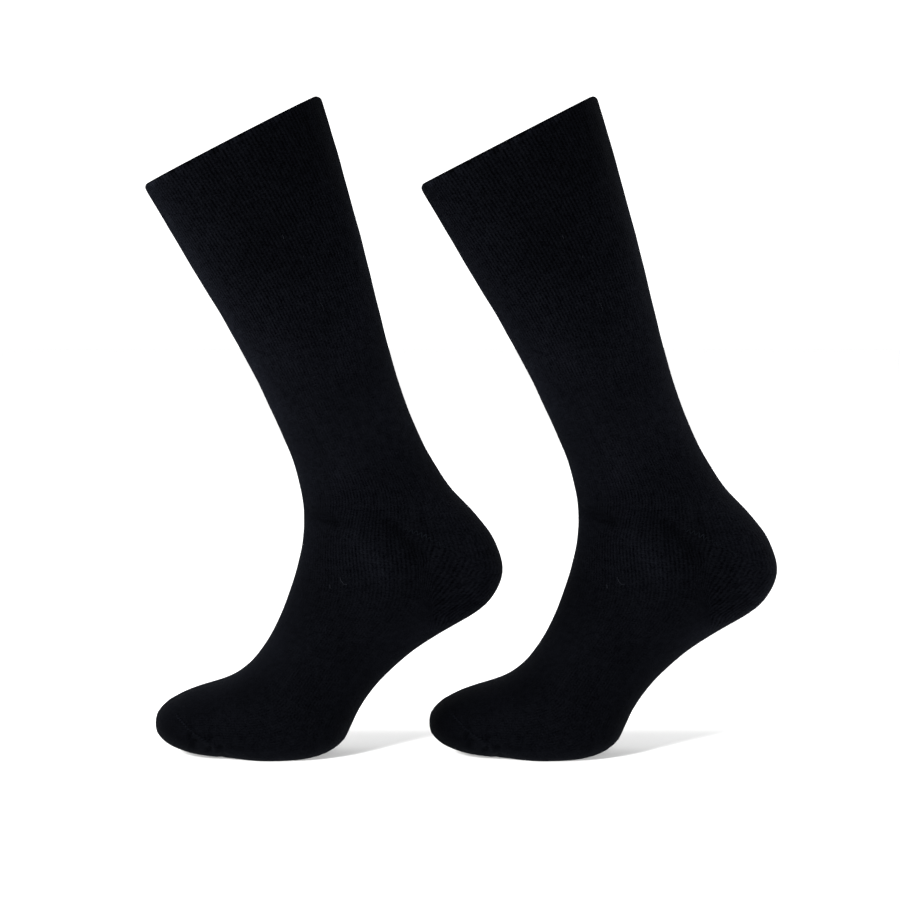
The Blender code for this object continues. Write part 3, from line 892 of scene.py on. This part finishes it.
HEEL_LINE = ((52.4, 150.5), (57.6, 149.2), (62.2, 147.5), (67.0, 145.0), (73.4, 141.7),
             (84.4, 135.7), (94.0, 130.9), (103.8, 125.9))  # X and height
HEEL_SHIFTS = ((-1, (0.0, 0.0)), (1, (1.6, -1.2)))  # of the line on the near and the far side
HEEL_WAVE = 3.2  # length of one zigzag
HEEL_WAVE_STEPS = 6
HEEL_WAYS = (0.0, 3.0, 16.0, 26.0, 64.0)  # the next three go by the way along the line
HEEL_SWING = (0.6, 1.3, 1.1, 0.6, 0.4)
HEEL_YARN = (0.22, 0.34, 0.28, 0.2, 0.14)  # radius
HEEL_LIFT = (0.3, 0.4, 0.3, -0.3, -0.6)  # as a share of the radius
HEEL_UNEVENNESS = 0.25
HEEL_UNEVEN_WAVE = 6.0
HEEL_SEED = 8
HEEL_TONE = (0.0038, 0.0046, 0.0064)
CLEAR_OF_SOCK = 150.0  # well outside it, where a line of sight to the cloth starts

cloth = BVHTree.FromPolygons([vertex.co / MM for vertex in left_mesh.vertices],
                             [tuple(face.vertices) for face in left_mesh.polygons])


def found(hits):
    """The places and the normals of those hits on the cloth."""
    places, normals, _, _ = zip(*hits)
    return np.array(places), np.array(normals)


def on_side(points, side):
    """Places on the outer face at those X and heights, side -1 the near one, and their normals."""
    return found(cloth.ray_cast(Vector((x, side * CLEAR_OF_SOCK, z)), Vector((0, -side, 0)))
                 for x, z in points)


def along_line(line, step):
    """Points every step along a line, and the way to each."""
    way = way_along(line)
    ways = np.arange(0, way[-1], step)
    return np.column_stack([np.interp(ways, way, column) for column in zip(*line)]), ways


heel_runs = []
for side, shift in HEEL_SHIFTS:
    flat, ways = along_line(HEEL_LINE, HEEL_WAVE / HEEL_WAVE_STEPS)
    base, ups = on_side(flat + shift, side)
    beside = np.cross(ups, np.gradient(base, axis=0))
    beside /= np.linalg.norm(beside, axis=1, keepdims=True)
    uneven = 1 + HEEL_UNEVENNESS * waves(base, HEEL_UNEVEN_WAVE, HEEL_SEED + side)
    swing = np.interp(ways, HEEL_WAYS, HEEL_SWING) * np.sin(2 * math.pi * ways / HEEL_WAVE) * uneven
    radii = np.interp(ways, HEEL_WAYS, HEEL_YARN) * uneven
    lift = radii * np.interp(ways, HEEL_WAYS, HEEL_LIFT)
    heel_runs.append((base + beside * swing[:, None] + ups * lift[:, None], ups, radii, False))
on_both_socks("heel_seam", heel_runs, 6,
              yarn_cloth("grey black heel yarn", HEEL_TONE, unevenness=0.35))

# ---------------------------------------------------------------------------------------------
# The toe seam: where the toe pocket is closed, from under the near side over the toes to the far
# side. A low cord with short slanting stitches over it, in the same black yarn.

TOE_LINE = ((-101.0, 35.6), (-98.9, 33.9), (-96.7, 31.4), (-91.7, 25.9), (-88.6, 23.2),
            (-81.4, 16.4), (-77.0, 14.3), (-73.7, 12.1), (-66.6, 7.7), (-63.5, 5.4),
            (-61.2, 3.0))  # X and height, near side
TOE_FAR_SHIFT = (1.2, 0.8)
TOE_TOP = ((-101.5, 5.0), (-101.7, 2.0), (-101.6, -2.0), (-101.3, -5.0))  # X and Y, over the top
TOE_OUTWARDS = (-2.0, 0.0, 2.0)  # from the seam out of the toe
TOE_STEP = 0.5
TOE_EVENING = 5  # steps to each side over which the line is evened out
TOE_CORD = 0.34  # radius
TOE_CORD_LIFT = 0.05
TOE_SINK = 1.6  # how deep it sinks where it fades, in radii
TOE_FADE = ((0.0, 28.0, 42.0, 60.0, 70.0), (0.25, 0.4, 1.0, 1.0, 0.4))  # by the way from the top
TOE_STITCH = 0.4  # radius
TOE_STITCH_POINTS = 5
TOE_STITCH_ARCH = 0.9  # its rise over the cord, in the cord's radii
TOE_STITCH_LIFT = 0.08
TOE_STITCH_SLANT = (0.5, 0.9)
TOE_PITCH = 2.3
TOE_REACH = 0.95  # how far a stitch reaches to each side of the cord
TOE_REACH_RANGE = (0.8, 1.2)  # shares of it
TOE_SEED = 5
TOE_TONE = (0.0022, 0.0026, 0.0039)

toe_side, _ = along_line(TOE_LINE, 1.0)
over_top, _ = found(cloth.ray_cast(Vector((x, y, CLEAR_OF_SOCK)), Vector((0, 0, -1)))
                    for x, y in TOE_TOP)
guide = np.concatenate([on_side(toe_side + TOE_FAR_SHIFT, 1)[0][::-1], over_top,
                        on_side(toe_side, -1)[0]])
guide, ways = along_line(guide, TOE_STEP)
evened = [guide[max(k - TOE_EVENING, 0):k + TOE_EVENING + 1].mean(axis=0) for k in range(len(guide))]
toe_line, toe_ups = found(cloth.find_nearest(Vector(point + TOE_OUTWARDS)) for point in evened)
fade = np.interp(np.abs(ways - ways[-1] / 2), *TOE_FADE)
sunk = TOE_CORD * (1 - fade) * TOE_SINK
cord = toe_line + toe_ups * (TOE_CORD_LIFT - sunk[:, None])
toe_runs = [(cord, toe_ups, TOE_CORD * fade, False)]
ahead = np.gradient(toe_line, axis=0)
ahead /= np.linalg.norm(ahead, axis=1, keepdims=True)
beside = np.cross(toe_ups, ahead)
across = np.linspace(-1, 1, TOE_STITCH_POINTS)[:, None]
draw = random.Random(TOE_SEED)
for start in np.arange(1.0, ways[-1] - 1.0, TOE_PITCH):
    k = int(start / TOE_STEP)
    reach = TOE_REACH * draw.uniform(*TOE_REACH_RANGE)
    slant = draw.uniform(*TOE_STITCH_SLANT)
    lift = TOE_CORD * (1 - across**2) * TOE_STITCH_ARCH + TOE_STITCH_LIFT - sunk[k]
    stitch = toe_line[k] + (beside[k] + ahead[k] * slant) * across * reach + toe_ups[k] * lift * fade[k]
    toe_runs.append((stitch, np.tile(toe_ups[k], (TOE_STITCH_POINTS, 1)),
                     np.full(TOE_STITCH_POINTS, TOE_STITCH * fade[k]), False))
on_both_socks("toe_seam", toe_runs, 6, yarn_cloth("black toe yarn", TOE_TONE, unevenness=0.35))

# ---------------------------------------------------------------------------------------------
# Lint: a few loose pale fibres and specks that cling to the knit, fine hairs of grey cotton lying
# on its outer face. The clearest are a curved hair and a speck on the near side of the instep.

HAIRS = (  # radius, and the line by X and height on the near side
    (0.15, ((10.6, 119.6), (11.2, 117.2), (12.8, 115.3), (15.3, 114.8))),
    (0.08, ((-2.2, 296.6), (-0.4, 294.2), (0.2, 290.6))),
    (0.13, ((-25.9, 340.2), (-25.0, 338.4), (-24.8, 337.6))),
    (0.12, ((-12.8, 326.6), (-12.6, 325.2))),
    (0.1, ((9.0, 328.0), (9.8, 327.0))),
    (0.22, ((4.0, 114.6), (4.2, 112.0))),
)
HAIR_STEP = 0.35
LINT_LIFT = 0.35  # above the cloth
LOOSE_FIBRES = 26
FIBRE_LOWEST = 3.0  # none lies nearer to the floor
FIBRE_FALL = 0.3  # height above the cloth from which it settles
FIBRE_POINTS = 6
FIBRE_REACH = (0.3, 1.3)
FIBRE_BEND = 0.9
FIBRE_RADIUS = (0.04, 0.08)
LINT_SEED = 17
LINT_TONE = (0.013, 0.014, 0.018)

lint_runs = []
for radius, line in HAIRS:
    places, ups = on_side(along_line(line, HAIR_STEP)[0], -1)
    lint_runs.append((places + ups * (radius + LINT_LIFT), ups, np.full(len(ups), radius), False))
draw = random.Random(LINT_SEED)
outer_faces = [face for face in left_mesh.polygons if face.material_index == 0]
while len(lint_runs) < len(HAIRS) + LOOSE_FIBRES:
    face = outer_faces[draw.randrange(len(outer_faces))]
    middle, normal = np.array(face.center) / MM, np.array(face.normal)
    if middle[2] < FIBRE_LOWEST:
        continue
    ahead = np.cross(normal, [draw.uniform(-1, 1) for _ in range(3)])
    ahead /= np.linalg.norm(ahead)
    bend = np.cross(normal, ahead) * draw.uniform(-FIBRE_BEND, FIBRE_BEND)
    share = np.linspace(-1, 1, FIBRE_POINTS)[:, None] * draw.uniform(*FIBRE_REACH)
    fibre = middle + normal * FIBRE_FALL + ahead * share + bend * (1 - share**2)
    places, ups = found(cloth.find_nearest(Vector(point)) for point in fibre)
    radii = np.full(FIBRE_POINTS, draw.uniform(*FIBRE_RADIUS))
    lint_runs.append((places + ups * LINT_LIFT, ups, radii, False))
on_both_socks("lint", lint_runs, 4, yarn_cloth("grey lint", LINT_TONE, unevenness=0.2))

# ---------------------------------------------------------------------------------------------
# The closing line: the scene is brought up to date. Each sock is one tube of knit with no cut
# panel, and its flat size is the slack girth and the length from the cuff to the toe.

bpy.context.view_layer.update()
